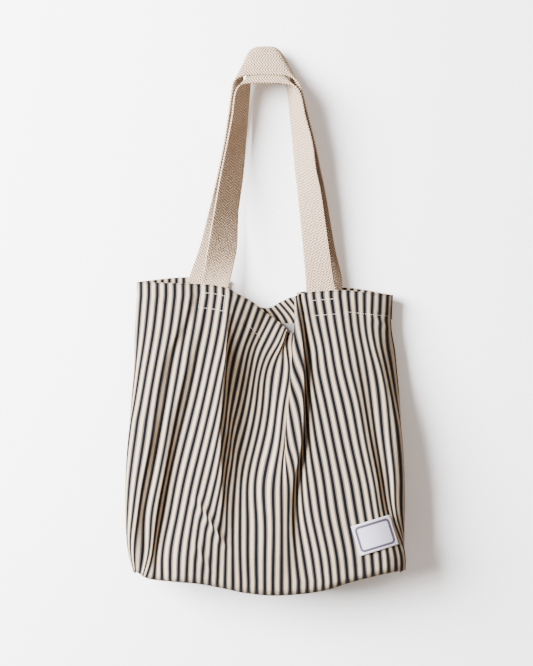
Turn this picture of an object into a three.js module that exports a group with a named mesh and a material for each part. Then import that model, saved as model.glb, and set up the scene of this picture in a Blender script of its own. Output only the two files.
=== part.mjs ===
// Foldable tote bag in striped cotton cloth, hanging by its two webbing handles.
//
// Millimetres, +Z up, the front of the bag faces -Y. The origin lies between the two
// handle tops, where they hang on a peg. The bag is a wedge: its rear face is one upright
// plane, and its front face leans from a deep base to a narrow mouth. Front and back
// panels meet at mid-depth, in the two side seams and in the bottom seam.

import * as THREE from "three";

// ---- Driving dimensions: the bag ----------------------------------------------------
const REAR_Y = 22;               // outer face of the back panel
const MOUTH_DEPTH = 28;          // front to back, outside, at the mouth
const BASE_DEPTH = 76;           // front to back, outside, at the base
const BASE_DEPTH_Z = -620;       // below this height the depth stays the same
const MOUTH_HALF_WIDTH = 157;
const BELLY_HALF_WIDTH = 171;
const BELLY_Z = -572;            // the widest place
const CORNER_Z = -646;
const CORNER_TUCK = 20;          // how far the outline draws in from belly to corner
const FRONT_TOP_Z = -290;
const BACK_TOP_Z = -283;
const BASE_Z = -668;             // lowest point, mid-base
const BASE_RISE = 28;            // the base's outline rises this much to its ends
const ROUND = 12;                // run over which a panel turns in towards its seam

// ---- Driving dimensions: layers, webbing, trim --------------------------------------
const CLOTH = 1.4;
const HEM_CLOTH = 1.2;
const GAP = 0.3;                 // between pieces that touch
const SEAM_GAP = 0.8;            // between the two panels, all along their seams
const HEM_DEPTH = 25;
const SEAM_CLOTH = 1.5;
const WEBBING_WIDTH = 38;
const WEBBING = 2;
const HANDLE_END = 35;           // webbing sewn in below the mouth
const HANDLE_START = 6;          // the free webbing starts this far above the mouth
const THREAD = 0.8;
const BOX_STITCH = { width: 32, height: 22, below: 9 };
const FRONT_HANDLE_ENDS = [-62, 69];
const BACK_HANDLE_ENDS = [-73, 77];
const LABEL = { x: 135, z: -594, width: 50, height: 38, tilt: 17 };
const LABEL_THICKNESS = 0.8;
const LABEL_STITCH_MARGIN = 3;
const CARE_LABEL = { x: 31, below: 51, width: 24, height: 22, thickness: 1 };

// Centre lines of the two handles, from left end to right end. The front handle's arch
// nests inside the back handle's.
const FRONT_HANDLE_LINE = [
  [-62, -1.8, FRONT_TOP_Z + HANDLE_START], [-54, -1.5, -245], [-47, -1, -198],
  [-41, -0.5, -156], [-35, 0, -113], [-31, 0, -80], [-29, 0, -50], [-23, 0, -22],
  [-12, 0, -7], [0, 0, -3.5], [13, 0, -7], [25, 0, -22], [34, 0, -50], [40, 0, -80],
  [46, 0, -113], [52, -0.5, -156], [57, -1, -198], [63, -1.5, -245],
  [69, -1.8, FRONT_TOP_Z + HANDLE_START],
];
const BACK_HANDLE_LINE = [
  [-73, 17.8, BACK_TOP_Z + HANDLE_START], [-67, 13, -241], [-60, 8, -198],
  [-53, 4, -156], [-45, 1, -113], [-40, 0, -80], [-37, 0, -50], [-30, 0, -17],
  [-16, 0, 0], [0, 0, 3.5], [17, 0, 0], [32, 0, -17], [42, 0, -50], [49, 0, -80],
  [55, 1, -113], [62, 4, -156], [68, 8, -198], [73, 13, -241],
  [77, 17.8, BACK_TOP_Z + HANDLE_START],
];
const HANDLE_STATIONS = 44;
const HANDLE_TWIST_SPAN = 0.4;   // share of the length over which each end turns edge-on

// ---- Materials ----------------------------------------------------------------------
function fabric(color) {
  return new THREE.MeshStandardMaterial({ color, roughness: 0.9, metalness: 0 });
}
const makeTicking = () => fabric(0xcbbfb0);
const makeWebbing = () => fabric(0xe2d6c6);
const makeThread = () => fabric(0xf1ede4);
const makeLabelCloth = () => fabric(0xdedbe4);

// ---- Closed meshes ------------------------------------------------------------------
const degrees = THREE.MathUtils.degToRad;
const mix = THREE.MathUtils.lerp;

function signedVolume(points, triangles) {
  let volume = 0;
  const normal = new THREE.Vector3();
  for (const [a, b, c] of triangles) {
    normal.crossVectors(points[b], points[c]);
    volume += points[a].dot(normal);
  }
  return volume;
}

/** A geometry whose faces point out, whichever way its triangles were listed. */
function closedGeometry(points, triangles) {
  const insideOut = signedVolume(points, triangles) < 0;
  const facing = insideOut ? triangles.map(([a, b, c]) => [a, c, b]) : triangles;
  const geometry = new THREE.BufferGeometry().setFromPoints(points);
  geometry.setIndex(facing.flat());
  geometry.computeVertexNormals();
  return geometry;
}

/** Joins a list of equal rings of points into a tube, closed on itself or capped. */
function sweepGeometry(rings, closed = false) {
  const corners = rings[0].length;
  const triangles = [];
  const steps = closed ? rings.length : rings.length - 1;
  for (let i = 0; i < steps; i += 1) {
    const here = i * corners;
    const there = ((i + 1) % rings.length) * corners;
    for (let k = 0; k < corners; k += 1) {
      const next = (k + 1) % corners;
      triangles.push([here + k, here + next, there + next]);
      triangles.push([here + k, there + next, there + k]);
    }
  }
  if (!closed) {
    const last = (rings.length - 1) * corners;
    for (let k = 1; k < corners - 1; k += 1) {
      triangles.push([0, k + 1, k]);
      triangles.push([last, last + k, last + k + 1]);
    }
  }
  return closedGeometry(rings.flat(), triangles);
}

/** Closes two equal grids of points, an outer and an inner face, into one thin body. */
function sheetGeometry(outer, inner) {
  const rows = outer.length;
  const columns = outer[0].length;
  const innerStart = rows * columns;
  const at = (layer, i, j) => layer * innerStart + i * columns + j;
  const triangles = [];
  const quad = (a, b, c, d) => triangles.push([a, b, c], [a, c, d]);
  for (let i = 0; i < rows - 1; i += 1) {
    for (let j = 0; j < columns - 1; j += 1) {
      quad(at(0, i, j), at(0, i, j + 1), at(0, i + 1, j + 1), at(0, i + 1, j));
      quad(at(1, i, j), at(1, i + 1, j), at(1, i + 1, j + 1), at(1, i, j + 1));
    }
  }
  const right = columns - 1;
  for (let i = 0; i < rows - 1; i += 1) {
    quad(at(0, i, 0), at(0, i + 1, 0), at(1, i + 1, 0), at(1, i, 0));
    quad(at(0, i + 1, right), at(0, i, right), at(1, i, right), at(1, i + 1, right));
  }
  const bottom = rows - 1;
  for (let j = 0; j < right; j += 1) {
    quad(at(0, 0, j + 1), at(0, 0, j), at(1, 0, j), at(1, 0, j + 1));
    quad(at(0, bottom, j), at(0, bottom, j + 1), at(1, bottom, j + 1), at(1, bottom, j));
  }
  return closedGeometry([...outer.flat(), ...inner.flat()], triangles);
}

// ---- The bag's surface --------------------------------------------------------------
// A side is -1 for the front panel and +1 for the back panel. An inset is a distance
// inwards from the bag's outer face, so that layers of cloth follow one another.

function halfWidth(z) {
  const spread = Math.min(1, (FRONT_TOP_Z - z) / (FRONT_TOP_Z - BELLY_Z));
  const width = mix(MOUTH_HALF_WIDTH, BELLY_HALF_WIDTH, Math.max(0, spread));
  const tuck = Math.max(0, (BELLY_Z - z) / (BELLY_Z - CORNER_Z));
  return width - CORNER_TUCK * tuck ** 2;
}

function halfDepth(z) {
  const deepening = (FRONT_TOP_Z - z) / (FRONT_TOP_Z - BASE_DEPTH_Z);
  return mix(MOUTH_DEPTH, BASE_DEPTH, Math.min(1, Math.max(0, deepening))) / 2;
}

const seamY = (z) => REAR_Y - halfDepth(z);
const topZ = (side) => (side < 0 ? FRONT_TOP_Z : BACK_TOP_Z);
const baseOutlineZ = (x) => BASE_Z + BASE_RISE * (x / BELLY_HALF_WIDTH) ** 2;

/** y of a panel's layer in the flat part of the panel. */
const flatY = (side, z, inset) => seamY(z) + side * (halfDepth(z) - inset);

/**
 * A point of a panel's layer. A column holds how far across the flat part it stands, -1
 * to 1, and how far it has turned round the side, and a row the same downwards, 0 to 1.
 */
function layerPoint(side, column, row, inset) {
  const roundX = Math.sign(column.across) * (ROUND - inset) * Math.sin(column.turn);
  const bottom = baseOutlineZ(column.across * (BELLY_HALF_WIDTH - ROUND) + roundX);
  const flatZ = mix(topZ(side), bottom + ROUND, row.fall);
  const z = flatZ - (ROUND - inset) * Math.sin(row.turn);
  const x = column.across * (halfWidth(z) - ROUND) + roundX;
  const depth = (halfDepth(z) - inset) * Math.cos(column.turn) * Math.cos(row.turn);
  return new THREE.Vector3(x, seamY(z) + side * Math.max(depth, SEAM_GAP / 2), z);
}

const FLAT_COLUMNS = 10;
const FLAT_ROWS = 9;
const TURNS = [30, 60, 90].map(degrees);
const EDGE_TURNS = TURNS.slice(1);

function spread(from, to, count) {
  return Array.from({ length: count + 1 }, (_, i) => mix(from, to, i / count));
}

function columnsAcross(flatCount, turns) {
  const left = [...turns].reverse().map((turn) => ({ across: -1, turn }));
  const flat = spread(-1, 1, flatCount).map((across) => ({ across, turn: 0 }));
  const right = turns.map((turn) => ({ across: 1, turn }));
  return [...left, ...flat, ...right];
}

function rowsDown(from, to, flatCount, turns = []) {
  const flat = spread(from, to, flatCount).map((fall) => ({ fall, turn: 0 }));
  return [...flat, ...turns.map((turn) => ({ fall: 1, turn }))];
}

/** How far down the flat part a distance below the mouth is, 0 to 1. */
const fallAt = (side, below) => below / (topZ(side) - BASE_Z - ROUND);

function layerSheet(side, columns, rows, inset, thickness) {
  const grid = (depth) => rows.map((row) => (
    columns.map((column) => layerPoint(side, column, row, depth))
  ));
  return sheetGeometry(grid(inset), grid(inset + thickness));
}

/** Corners of a rectangle in the outline's plane, turned by its tilt, as (x, z). */
function placeOnPanel(patch, u, v) {
  const tilt = degrees(patch.tilt ?? 0);
  return [
    patch.x + u * Math.cos(tilt) - v * Math.sin(tilt),
    patch.z + u * Math.sin(tilt) + v * Math.cos(tilt),
  ];
}

/** A flat rectangular patch of cloth or webbing that lies on a panel's layer. */
function patchSheet(side, patch, inset, thickness) {
  const grid = (depth) => [1, -1].map((v) => (
    [-1, 1].map((u) => {
      const [x, z] = placeOnPanel(patch, (u * patch.width) / 2, (v * patch.height) / 2);
      return new THREE.Vector3(x, flatY(side, z, depth), z);
    })
  ));
  return sheetGeometry(grid(inset), grid(inset + thickness));
}

/** A closed line of thread round a rectangle on a panel's layer. */
function stitchLoop(side, patch, inset) {
  const rings = [[-1, -1], [1, -1], [1, 1], [-1, 1]].map(([u, v]) => {
    const lineAt = (grow, depth) => {
      const [x, z] = placeOnPanel(
        patch,
        u * (patch.width / 2 + grow),
        v * (patch.height / 2 + grow),
      );
      return new THREE.Vector3(x, flatY(side, z, depth), z);
    };
    return [
      lineAt(0, inset), lineAt(THREAD, inset),
      lineAt(THREAD, inset - THREAD), lineAt(0, inset - THREAD),
    ];
  });
  return sweepGeometry(rings, true);
}

// ---- Handles ------------------------------------------------------------------------
/**
 * The free webbing of one handle: it leaves the mouth flat on its panel and turns edge-on
 * towards the peg, so that its width lies along Y where it crosses the peg.
 */
function handleGeometry(line) {
  const curve = new THREE.CatmullRomCurve3(line.map((p) => new THREE.Vector3(...p)));
  const rings = spread(0, 1, HANDLE_STATIONS).map((part) => {
    const centre = curve.getPointAt(part);
    const tangent = curve.getTangentAt(part);
    const fromEnd = Math.min(part, 1 - part) / HANDLE_TWIST_SPAN;
    const quarter = degrees(90) * THREE.MathUtils.smoothstep(fromEnd, 0, 1);
    const angle = part < 0.5 ? quarter : Math.PI - quarter;
    const rearwards = new THREE.Vector3(Math.cos(angle), Math.sin(angle), 0);
    rearwards.addScaledVector(tangent, -rearwards.dot(tangent)).normalize();
    const facing = new THREE.Vector3().crossVectors(tangent, rearwards);
    const corner = (a, b) => centre.clone()
      .addScaledVector(rearwards, (a * WEBBING_WIDTH) / 2)
      .addScaledVector(facing, (b * WEBBING) / 2);
    return [corner(-1, -1), corner(1, -1), corner(1, 1), corner(-1, 1)];
  });
  return sweepGeometry(rings);
}

// ---- Assembly -----------------------------------------------------------------------
const bag = new THREE.Group();

function add(name, geometry, material) {
  const mesh = new THREE.Mesh(geometry, material);
  mesh.name = name;
  bag.add(mesh);
}

const ALL_COLUMNS = columnsAcross(FLAT_COLUMNS, TURNS);
const ALL_ROWS = rowsDown(0, 1, FLAT_ROWS, TURNS);
const HEM_INSET = CLOTH + GAP;
const END_INSET = HEM_INSET + HEM_CLOTH + GAP;
const SEAM_INSET = CLOTH + GAP;
const CORNER_SEAM_INSET = SEAM_INSET + 2;
const HEM_STITCH_BELOW = HEM_DEPTH - 3;

function addPanel(name, side) {
  add(`${name}_panel`, layerSheet(side, ALL_COLUMNS, ALL_ROWS, 0, CLOTH), makeTicking());
}

function addHem(name, side) {
  const rows = rowsDown(0, fallAt(side, HEM_DEPTH), 1);
  const hem = layerSheet(side, ALL_COLUMNS, rows, HEM_INSET, HEM_CLOTH);
  add(`${name}_hem`, hem, makeTicking());
}

/** The hem's line of thread: outside on the front panel, inside on the back panel. */
function addHemStitch(name, side) {
  const below = side < 0 ? HEM_STITCH_BELOW : HEM_DEPTH + GAP;
  const rows = rowsDown(fallAt(side, below), fallAt(side, below + THREAD), 1);
  const inset = side < 0 ? -GAP - THREAD : HEM_INSET;
  add(`${name}_hem_stitch`, layerSheet(side, ALL_COLUMNS, rows, inset, THREAD), makeThread());
}

function addHandleEnd(name, side, x) {
  const patch = {
    x,
    z: topZ(side) - GAP - HANDLE_END / 2,
    width: WEBBING_WIDTH,
    height: HANDLE_END,
  };
  add(name, patchSheet(side, patch, END_INSET, WEBBING), makeWebbing());
}

/** The box of thread that holds a handle end: outside on the front, inside on the back. */
function addBoxStitch(name, side, x) {
  const patch = {
    x,
    z: topZ(side) - BOX_STITCH.below - BOX_STITCH.height / 2,
    width: BOX_STITCH.width,
    height: BOX_STITCH.height,
  };
  const inset = side < 0 ? -2 * GAP - THREAD : END_INSET + WEBBING + GAP + THREAD;
  add(name, stitchLoop(side, patch, inset), makeThread());
}

/** The seam allowance down one side, from under the hem to just above the base. */
function addSideSeam(name, across) {
  const columns = EDGE_TURNS.map((turn) => ({ across, turn }));
  const rows = ALL_ROWS.slice(1, FLAT_ROWS);
  const seam = layerSheet(1, columns, rows, SEAM_INSET, SEAM_CLOTH);
  add(name, seam, makeTicking());
}

/** The seam allowance along the middle of the base. */
function addBottomSeam() {
  const columns = columnsAcross(FLAT_COLUMNS, []);
  const rows = EDGE_TURNS.map((turn) => ({ fall: 1, turn }));
  const seam = layerSheet(1, columns, rows, SEAM_INSET, SEAM_CLOTH);
  add("bottom_seam", seam, makeTicking());
}

/** The seam across a boxed corner, where it lies on the back panel's half. */
function addCornerSeam(name, across) {
  const columns = [0, ...TURNS].map((turn) => ({ across, turn }));
  const rows = rowsDown(0.95, 0.98, 1);
  const seam = layerSheet(1, columns, rows, CORNER_SEAM_INSET, SEAM_CLOTH);
  add(name, seam, makeTicking());
}

function addLabel() {
  const inset = -GAP - LABEL_THICKNESS;
  add("label", patchSheet(-1, LABEL, inset, LABEL_THICKNESS), makeLabelCloth());
  const stitch = {
    ...LABEL,
    width: LABEL.width - 2 * LABEL_STITCH_MARGIN,
    height: LABEL.height - 2 * LABEL_STITCH_MARGIN,
  };
  add("label_stitch", stitchLoop(-1, stitch, inset - GAP), makeThread());
}

/** The care label hangs inside the back panel, below the hem. */
function addCareLabel() {
  const { x, below, width, height, thickness } = CARE_LABEL;
  const top = BACK_TOP_Z - below;
  const geometry = new THREE.BoxGeometry(width, thickness, height);
  geometry.translate(x, REAR_Y - END_INSET - thickness / 2, top - height / 2);
  add("care_label", geometry, makeLabelCloth());
}

addPanel("front", -1);
addPanel("back", 1);
addHem("front", -1);
addHem("back", 1);
addHemStitch("front", -1);
addHemStitch("back", 1);
["left", "right"].forEach((hand, k) => {
  const across = k === 0 ? -1 : 1;
  addHandleEnd(`front_handle_end_${hand}`, -1, FRONT_HANDLE_ENDS[k]);
  addHandleEnd(`back_handle_end_${hand}`, 1, BACK_HANDLE_ENDS[k]);
  addBoxStitch(`front_box_stitch_${hand}`, -1, FRONT_HANDLE_ENDS[k]);
  addBoxStitch(`back_box_stitch_${hand}`, 1, BACK_HANDLE_ENDS[k]);
  addSideSeam(`side_seam_${hand}`, across);
  addCornerSeam(`corner_seam_${hand}`, across);
});
addBottomSeam();
addLabel();
addCareLabel();
add("front_handle", handleGeometry(FRONT_HANDLE_LINE), makeWebbing());
add("back_handle", handleGeometry(BACK_HANDLE_LINE), makeWebbing());

export default bag;
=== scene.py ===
"""Foldable tote bag in striped ticking, hanging by its two webbing handles.

The cloth is lofted: each sheet is given by a few level sections, and each section lists the
same fold lines in the same order. A station of a fold line says which stripe of the cloth
passes there, where it stands as seen from the front, and how deep it lies. Lengths are in
millimetres up to the meshes, which are in metres.
"""

import math

import bpy
import numpy as np
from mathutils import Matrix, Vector, noise
from mathutils.bvhtree import BVHTree


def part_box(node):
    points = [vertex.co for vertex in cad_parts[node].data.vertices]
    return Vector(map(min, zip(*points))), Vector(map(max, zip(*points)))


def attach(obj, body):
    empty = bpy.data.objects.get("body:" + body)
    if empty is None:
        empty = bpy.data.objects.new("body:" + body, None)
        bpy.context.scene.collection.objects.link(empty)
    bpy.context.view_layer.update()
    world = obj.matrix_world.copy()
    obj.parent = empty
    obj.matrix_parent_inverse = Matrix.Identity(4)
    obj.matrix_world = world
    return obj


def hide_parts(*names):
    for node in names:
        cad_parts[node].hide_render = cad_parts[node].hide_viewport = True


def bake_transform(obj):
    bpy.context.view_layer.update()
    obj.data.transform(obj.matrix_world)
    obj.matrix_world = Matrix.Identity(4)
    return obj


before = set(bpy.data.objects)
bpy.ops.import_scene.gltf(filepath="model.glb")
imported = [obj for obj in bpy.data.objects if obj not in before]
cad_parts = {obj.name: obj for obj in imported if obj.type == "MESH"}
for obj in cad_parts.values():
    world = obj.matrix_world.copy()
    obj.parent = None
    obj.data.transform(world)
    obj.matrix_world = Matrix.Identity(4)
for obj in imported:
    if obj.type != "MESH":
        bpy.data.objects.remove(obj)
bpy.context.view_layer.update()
MM = 0.001

# ---- Driving dimensions ----
STRIPE = 10.33               # from one black stripe to the next, on flat cloth
FIRST_STRIPE = -0.6          # the left side seam, counted in stripes
LAST_STRIPE = 43.9           # the right side seam
CLOTH = 0.9                  # thickness
HEM_DEPTH = 28
HEM_STITCH_BELOW = 25
BACK_STITCH_INSET = 2.5      # the back's hem stitches show on its inner face
BOX_STITCH_INSET = -0.2
WEBBING = 2.0                # thickness
WEBBING_WIDTH = 38
WEBBING_INSET = 3.6          # from the cloth's outer face to the webbing sewn behind it
THREAD_RADIUS = 0.24
STITCH_PITCH = 3.3
STITCH_LENGTH = 2.2
BOX_STITCH = {"half_width": 1.5, "top": 9, "bottom": 27.5}   # in stripes, then mm
ROUND = 9                    # radius with which a panel turns under the base
BASE_LEVEL = -650.0          # height at which the base's outline is read
BASE_SAG = 1.2               # of the cloth between the base's edge and its seam
SEAM_DROP = 2.5              # of the bottom seam's middle below its ends
SEAM_HALF_LENGTH = 170
SEAM_PULL = 0.985            # the bottom seam is a little shorter than the base's edge
WALL_GAP = 1.5

EYE = Vector((2, -1300, -346))      # where the bag is looked at from
LENS = 57.35

REAR_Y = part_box("back_panel")[1].y / MM
FRONT_TOP = (-290.0, -6.0)          # z and y of the front panel's flat face at the mouth
FRONT_BASE = (-620.0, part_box("front_panel")[0].y / MM)

# ---- The front cloth ----
# Each section: height, then (stripe, x, depth behind the front plane) along these lines.
# x follows the stripes measured in the photograph, in mm; the depths are estimates:
# left seam, left side, crest, valley 1, crest, valley 2, flat, ridge 1, its foot, slope,
# slope, broad valley, rise, pleat's near side, pleat's back, ridge 2, facet, deep valley,
# slope, slope, right flat, small fold, right slope, right side, right seam.
FRONT_SECTIONS = [
    (-300, [(-0.6, -157, 14), (0.2, -149.8, 8), (5.9, -91, -1), (7, -80.9, 2), (8, -70.5, 0),
            (8.8, -62.5, 0.5), (9.8, -52.5, -1), (10.8, -43.3, -2), (11.5, -36.5, 0.5), (12.5, -26, 3),
            (14.5, -7, 8), (17, 19.4, 15), (20, 47, 19), (22.5, 48, 25), (26.5, 50, 25),
            (30.3, 36.5, -2.5), (31.3, 39.5, -3), (32.3, 44.5, 1), (33, 50.3, -0.5), (34.5, 65, -1),
            (37, 92, -2.5), (39, 112, -0.5), (41, 132, 1), (43, 150.5, 8), (43.9, 157, 14)]),
    (-345, [(-0.6, -159.5, 18), (0.2, -153.5, 11), (4.9, -107.7, -0.5), (6, -98, 3.5), (7.4, -84, 0),
            (8.3, -74.8, 2), (9.6, -61.5, -1), (11.2, -46.8, -4), (12.1, -43.5, 0.5), (13, -37, 4),
            (14.7, -20.5, 11), (17, -2.3, 18), (20.8, 26, 18), (22.3, 27, 25), (26.2, 48, 25),
            (29.8, 35.5, -4.5), (30.9, 45, -5), (31.9, 49.8, 4), (33, 58.6, 0), (34.5, 73, 0),
            (37, 98, -3), (39, 116, -1), (41, 132.4, 1), (43, 149.5, 9), (43.9, 155.8, 18)]),
    (-366, [(-0.6, -160, 20), (0.2, -155.5, 12), (4.2, -118.5, 0), (5.3, -108.5, 4.5), (7.2, -90, 0),
            (8.2, -80.2, 3), (9.8, -63.5, -1), (11.6, -48, -4.5), (12.4, -46.5, 0.5), (13.3, -41, 5),
            (14.8, -27, 12), (17, -11.8, 19), (20.9, 18.9, 19), (22.4, 24, 22), (26.1, 45, 22),
            (29.1, 33.5, -5), (30.6, 46.5, -5.5), (31.6, 51, 7), (32.6, 59.5, 1), (34.4, 76, 0),
            (37, 101.6, -3), (39, 120, -1), (41, 136.3, 0), (43, 151.2, 9.5), (43.9, 159.5, 20)]),
    (-385, [(-0.6, -160.5, 21), (0.2, -157.5, 14), (3.9, -125, -0.5), (5.1, -114, 5), (7, -95, 0),
            (8.1, -84.7, 4), (9.9, -66.6, -1), (12, -49, -5), (12.9, -47.2, 1), (13.8, -41, 6),
            (15, -30, 14), (17, -16.5, 22), (20.5, 8, 24), (23, 29.5, 21), (26, 43, 21),
            (28.5, 32, -5.5), (30.2, 47.8, -6), (31.15, 51.3, 10), (32.4, 59.7, 1), (34.3, 78, 0),
            (37, 105, -3), (39, 123.5, -0.5), (40.8, 140, 0), (42.7, 152.5, 10), (43.9, 161.5, 21)]),
    (-430, [(-0.6, -164, 24), (0.3, -162.5, 16), (3.9, -132.8, -0.5), (5.1, -121.6, 5),
            (6.3, -110.2, 0), (8.1, -94.4, 7.5), (10.3, -72.5, 0), (12.4, -53.5, -6), (13.3, -49, 1),
            (14.3, -44, 5), (15.6, -34.8, 13), (17.5, -21, 22), (20.3, 0, 23), (23.4, 27, 17),
            (25, 36, 19), (26.8, 28.8, -5), (28.9, 47.2, -6), (29.9, 49.8, 11), (31.3, 58.2, 2),
            (33.6, 80, 0), (36.8, 113.5, -3), (39, 130, 3), (41, 150, 1.5), (43, 162, 13),
            (43.9, 165.5, 24)]),
    (-480, [(-0.6, -166.5, 28), (0.5, -168.3, 17), (3.9, -140.2, -1), (5, -131.3, 5.5),
            (6.2, -119.8, 1), (8.1, -106.5, 9.5), (11, -77.2, -1), (13.5, -55, -6.5),
            (14.3, -50.5, 0.5), (15.3, -45, 4.5), (16.8, -38, 11), (18.6, -23, 18), (20.8, -4, 17),
            (23.3, 20.5, 7), (24.4, 26, 9), (25.4, 25, -3), (27.9, 45, -5), (28.8, 47.4, 11),
            (30.2, 56.3, 2), (32.6, 80, 0), (37, 124, -3), (39.3, 139, 5), (41, 154.7, 2.5),
            (43, 169, 15), (43.9, 168, 28)]),
    (-530, [(-0.6, -168, 31), (0.9, -171, 19), (3.6, -151.8, 1), (5, -140.7, 6.5), (6.4, -128, 1),
            (8.05, -117.7, 11), (11.5, -84.5, 0), (15, -53.5, -5), (15.8, -49.5, -1), (16.8, -45, 3),
            (18.2, -35, 7), (19.6, -24.5, 9), (21.4, -8, 6), (23.4, 15, -2), (24.2, 22, -2),
            (24.8, 27, -2.5), (25.8, 34.8, -1), (27.1, 40, 11), (28.6, 49.2, 3), (31, 72.6, 0.5),
            (37.2, 135.5, -3), (39.4, 147.2, 8.5), (41, 159.3, 3.5), (43, 171.5, 19), (43.9, 171, 31)]),
    (-575, [(-0.6, -165, 34.5), (1.2, -171, 20), (3.8, -157, 4), (5, -148.2, 9), (6.4, -136, 2.5),
            (8.1, -125.4, 12), (12, -88.6, 0), (15.8, -55.5, -3.5), (16.5, -50, -1), (17.2, -45.5, 1),
            (18.6, -34, 4), (20, -21, 4.5), (21.8, -2, 1), (23.4, 15, -2), (24.1, 21.5, -2),
            (24.7, 26.5, -1), (25.5, 32, 0.5), (26.6, 38, 7), (27.8, 47.5, 3), (30.5, 74, 0),
            (36.8, 140, -3), (39.5, 156, 7), (41, 163, 9.5), (43, 171.5, 23), (43.9, 170, 34.5)]),
    (-620, [(-0.6, -162, 38), (1.6, -166.5, 24), (4, -160, 9), (5.3, -147.6, 11), (6.4, -141.2, 8),
            (8.15, -132.4, 13), (12, -94.6, 0), (15.8, -58.7, -1), (16.6, -51.5, 0), (17.4, -44.5, 0),
            (18.7, -33, 0.5), (20, -21, 1), (21.8, -2, 0), (23.4, 14.5, -1), (24.1, 21.5, -1),
            (24.7, 27, 0), (25.4, 33, 1), (26.6, 43.5, 4), (28, 58, 2.5), (30.5, 83, 0),
            (36.8, 149, -1), (38.6, 164.5, 5), (40.2, 172.5, 15), (42.4, 171, 28), (43.9, 164, 38)]),
    (-650, [(-0.6, -158, 38), (1.8, -157.5, 26), (4, -157, 13), (5.5, -153, 8), (6.9, -147.8, 4),
            (8.4, -132, 4), (12, -96, 0), (15.8, -60, 0), (16.6, -52.5, 0), (17.4, -45, 0),
            (18.7, -32, 0), (20, -20, 0), (21.8, -2, 0), (23.4, 14, 0), (24.1, 21.5, 0), (24.7, 28, 0),
            (25.4, 35, 0), (26.6, 48, 0.5), (28, 62, 0.5), (30.5, 86, 0), (36.8, 150, 1),
            (38.6, 164, 7), (40.2, 171, 17), (42.4, 171.5, 29), (43.9, 171, 38)]),
]
FRONT_MOUTH = [(-0.6, -285), (4, -286.5), (8, -288), (10.8, -293.5), (12, -300.5), (14, -309.4),
               (16, -321.6), (18, -331.4), (20, -341.3), (22, -346.5), (24.5, -347.5), (27.5, -335),
               (29.2, -310), (30.2, -304), (31.5, -300.5), (34, -297), (37, -295), (40, -297.5),
               (43.9, -301)]
# Short creases: from and to, as (stripe, height), how proud, and how far stripes close up.
CREASES = [
    ((11.6, -546), (17.4, -610), 3.5, 3.2),
    ((15.2, -640), (12.6, -600), 1.5, 1.6),
    ((9.4, -646), (11.8, -664), 1.8, 1.8),
    ((40.4, -322), (43.6, -338), 2.0, 1.6),
]
CREASE_WIDTH = 5.5

# ---- The back cloth ----
# Depths are forward of the wall. Lines: left seam, left side, handle, handle, pleat's near
# edge, its back, its far edge, middle, the same three of the second pleat, handle, handle,
# right side, right seam.
BACK_SECTIONS = [
    (-300, [(-0.6, -157, 13.5), (0.3, -149, 8), (6.8, -92, 0.5), (10.5, -56, 0.5), (12, -44, 0),
            (14.3, -57, 5), (16.6, -44, 8), (21.5, -12, 4), (26.4, 31, 8), (28.7, 50, 5), (31, 40, 1),
            (33, 58, 0), (36.7, 95, 0.5), (43, 149, 8), (43.9, 157, 13.5)]),
    (-335, [(-0.6, -158.5, 16.5), (0.3, -153, 10), (6.8, -96, 0.6), (10.5, -60, 0.5), (12, -47, 0),
            (14.3, -56, 4.6), (16.6, -34, 7.6), (21.5, 14, 5), (26.6, 54, 8), (28.8, 60, 4.6),
            (30.9, 50, 1), (33, 62, 0), (36.7, 97.5, 0.5), (43, 149.5, 9.5), (43.9, 155.8, 16.5)]),
    (-400, [(-0.6, -161, 22), (0.4, -160, 14), (6.8, -104, 1), (10.5, -69, 0.5), (12.3, -52, 0),
            (14, -60, 4), (16, -48, 7), (21.5, -2, 6), (27, 44, 7), (29, 56, 4), (30.8, 50, 1),
            (33, 67, 0), (36.7, 102, 0.5), (43, 158, 12), (43.9, 162, 22)]),
    (-500, [(-0.6, -166, 28.5), (0.8, -168, 18), (6.8, -118, 2), (10.5, -84, 0.5), (12.8, -62, 1),
            (14.2, -54, 5), (15.8, -42, 5), (21.5, 0, 2), (27.2, 46, 5), (28.8, 56, 5), (30.2, 66, 1),
            (33, 88, 0), (36.7, 120, 1.5), (42.4, 168, 16), (43.9, 168, 28.5)]),
    (-575, [(-0.6, -165, 34), (1.2, -169, 20), (6.8, -126, 3), (10.5, -92, 0.5), (12.8, -70, 0),
            (14.4, -56, 2), (16, -42, 2), (21.5, 2, 1), (27, 50, 2), (28.8, 66, 2), (30.4, 80, 0.5),
            (33, 104, 0), (36.7, 134, 2.5), (42, 170, 20), (43.9, 169, 34)]),
    (-640, [(-0.6, -158, 37.5), (2, -158, 24), (6.8, -131, 4), (10.5, -97, 1), (12.8, -74, 0),
            (14.4, -58, 0), (16, -42, 0), (21.5, 8, 0), (27, 64, 0), (28.8, 82, 0), (30.4, 98, 0),
            (33, 124, 0.5), (36.7, 152, 4), (41, 168, 20), (43.9, 170.5, 37.5)]),
]
BACK_MOUTH = [(-0.6, -285), (0.3, -284), (6.8, -279), (10.5, -281), (14.3, -292), (16.6, -300),
              (21.5, -317), (24, -310), (26.4, -303.5), (31, -298), (36.7, -292), (43.9, -301)]

# The outline of the base: (x, z), the same for both panels.
BASE_LINE = [(-160, -634), (-156, -640), (-150, -645), (-140, -648), (-117, -650.5), (-79, -654),
             (-52, -659), (-23, -665), (12, -668), (45, -666), (76, -661), (101, -653), (140, -643),
             (172, -636)]

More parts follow.
